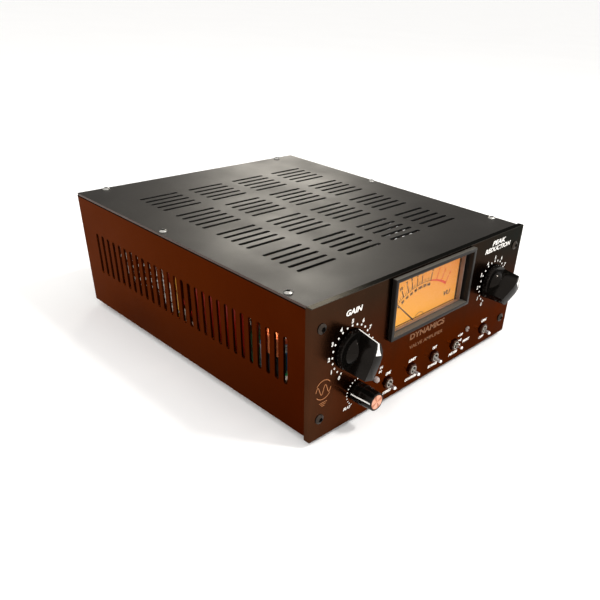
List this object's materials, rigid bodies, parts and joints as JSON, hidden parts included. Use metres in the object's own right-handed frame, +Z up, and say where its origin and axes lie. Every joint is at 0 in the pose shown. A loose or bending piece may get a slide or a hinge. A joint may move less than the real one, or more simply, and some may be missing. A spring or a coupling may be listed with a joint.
{
  "type": "rack compressor",
  "caption": "Half-width audio valve compressor: vented metal case, wide lit needle meter, two bar knobs, a small knob, toggles and rear sockets.",
  "frame": {"origin": "on the floor plane under the middle of the whole envelope, knobs and rear connectors included", "axes": "+Z up, the front panel faces -Y, +X to the right as seen from the front"},
  "size_m": [0.216, 0.2778, 0.0925],
  "materials": {
    "case_paint": "satin dark brown powder coat",
    "panel_paint": "glossy dark brown lacquer",
    "cover_paint": "satin warm grey powder coat with fine specks",
    "screws": "bright plated steel",
    "dark_screws": "dull plated steel",
    "rubber": "matte black",
    "bezel": "fine-grained dark grey",
    "black_plastic": "matte black",
    "lens": "clear",
    "scale": "lit amber card",
    "needle": "dark brown",
    "steel": "turned",
    "lamp_glass": "warm",
    "gloss_black": "polished black",
    "copper": "spun copper",
    "pot_case": "moulded",
    "chrome": "polished",
    "switch_case": "moulded red-brown",
    "led": "diffused white",
    "preset_pink": "pale pink",
    "preset_blue": "moulded blue",
    "board": "green solder mask",
    "ceramic": "glazed off-white",
    "glass": "clear",
    "can": "drawn can",
    "winding": "enamelled copper wire",
    "core": "laminated steel",
    "sleeve_blue": "shrunk sleeve",
    "film_red": "dipped",
    "connector_metal": "satin nickel"
  },
  "bodies": {
    "case": {"chassis": "case_paint", "front_panel": "panel_paint", "rear_panel": "case_paint", "top_cover": "cover_paint", "cover_screws": "screws", "panel_screws": "dark_screws", "rear_panel_screws": "screws", "feet": "rubber", "foot_screws": "screws", "meter_bezel": "bezel", "meter_housing": "black_plastic", "meter_lens": "lens", "meter_scale": "scale", "meter_movement": "steel", "meter_lamps": "lamp_glass", "gain_pot": "pot_case", "reduction_pot": "pot_case", "small_pot": "pot_case", "control_nuts": "steel", "toggle_nuts": "chrome", "power_led": "led", "preset_body": "preset_blue", "main_board": "board", "board_pillars": "steel", "board_screws": "screws", "valve_sockets": "ceramic", "valves": "glass", "optical_cell": "can", "ring_transformer": "winding", "ring_clamp": "steel", "output_core": "core", "output_coil": "winding", "electrolytics": "sleeve_blue", "film_capacitors": "film_red", "input_connector": "connector_metal", "output_connector": "connector_metal", "jacks": "black_plastic", "mains_inlet": "black_plastic", "connector_screws": "screws", "toggle_body_1": "switch_case", "toggle_body_2": "switch_case", "toggle_body_3": "switch_case", "toggle_body_4": "switch_case", "toggle_body_5": "switch_case"},
    "gain_control": {"gain_knob": "gloss_black", "gain_shaft": "steel"},
    "reduction_control": {"reduction_knob": "gloss_black", "reduction_shaft": "steel"},
    "small_control": {"small_knob": "gloss_black", "small_knob_cap": "copper", "small_shaft": "steel"},
    "needle": {"meter_needle": "needle"},
    "preset": {"preset_rotor": "preset_pink"},
    "latch": {"input_latch": "steel"},
    "fuse_tray": {"fuse_drawer": "black_plastic"},
    "lever_1": {"toggle_lever_1": "chrome"},
    "lever_2": {"toggle_lever_2": "chrome"},
    "lever_3": {"toggle_lever_3": "chrome"},
    "lever_4": {"toggle_lever_4": "chrome"},
    "lever_5": {"toggle_lever_5": "chrome"}
  },
  "joints": [
    {"name": "gain_turn", "type": "hinge", "parent": "case", "child": "gain_control", "pos_m": [-0.075, -0.1191, 0.0556], "axis": [0, 1, 0], "range_deg": [-168, 132]},
    {"name": "reduction_turn", "type": "hinge", "parent": "case", "child": "reduction_control", "pos_m": [0.075, -0.1191, 0.0556], "axis": [0, 1, 0], "range_deg": [-203, 97]},
    {"name": "small_turn", "type": "hinge", "parent": "case", "child": "small_control", "pos_m": [-0.0675, -0.1191, 0.0231], "axis": [0, 1, 0], "range_deg": [-70, 230]},
    {"name": "needle_swing", "type": "hinge", "parent": "case", "child": "needle", "pos_m": [0, -0.1127, 0.0419], "axis": [0, 1, 0], "range_deg": [0, 96], "stiffness_Nm_per_rad": 0.0001},
    {"name": "preset_turn", "type": "hinge", "parent": "case", "child": "preset", "pos_m": [0.052, -0.1191, 0.0241], "axis": [0, 1, 0], "range_deg": [-135, 135]},
    {"name": "lever_1_flip", "type": "hinge", "parent": "case", "child": "lever_1", "pos_m": [-0.0375, -0.1184, 0.0163], "axis": [-1, 0, 0], "range_deg": [0, 25]},
    {"name": "lever_2_flip", "type": "hinge", "parent": "case", "child": "lever_2", "pos_m": [-0.0125, -0.1184, 0.0163], "axis": [-1, 0, 0], "range_deg": [0, 25]},
    {"name": "lever_3_flip", "type": "hinge", "parent": "case", "child": "lever_3", "pos_m": [0.0125, -0.1184, 0.0163], "axis": [-1, 0, 0], "range_deg": [0, 25]},
    {"name": "lever_4_flip", "type": "hinge", "parent": "case", "child": "lever_4", "pos_m": [0.0375, -0.1184, 0.0163], "axis": [-1, 0, 0], "range_deg": [-12.5, 12.5]},
    {"name": "lever_5_flip", "type": "hinge", "parent": "case", "child": "lever_5", "pos_m": [0.075, -0.1184, 0.0163], "axis": [-1, 0, 0], "range_deg": [0, 25]},
    {"name": "latch_press", "type": "slide", "parent": "case", "child": "latch", "axis": [0, 0, -1], "range_m": [0, 0.0015], "stiffness_N_per_m": 400},
    {"name": "fuse_tray_pull", "type": "slide", "parent": "case", "child": "fuse_tray", "axis": [0, 1, 0], "range_m": [0, 0.013]}
  ]
}
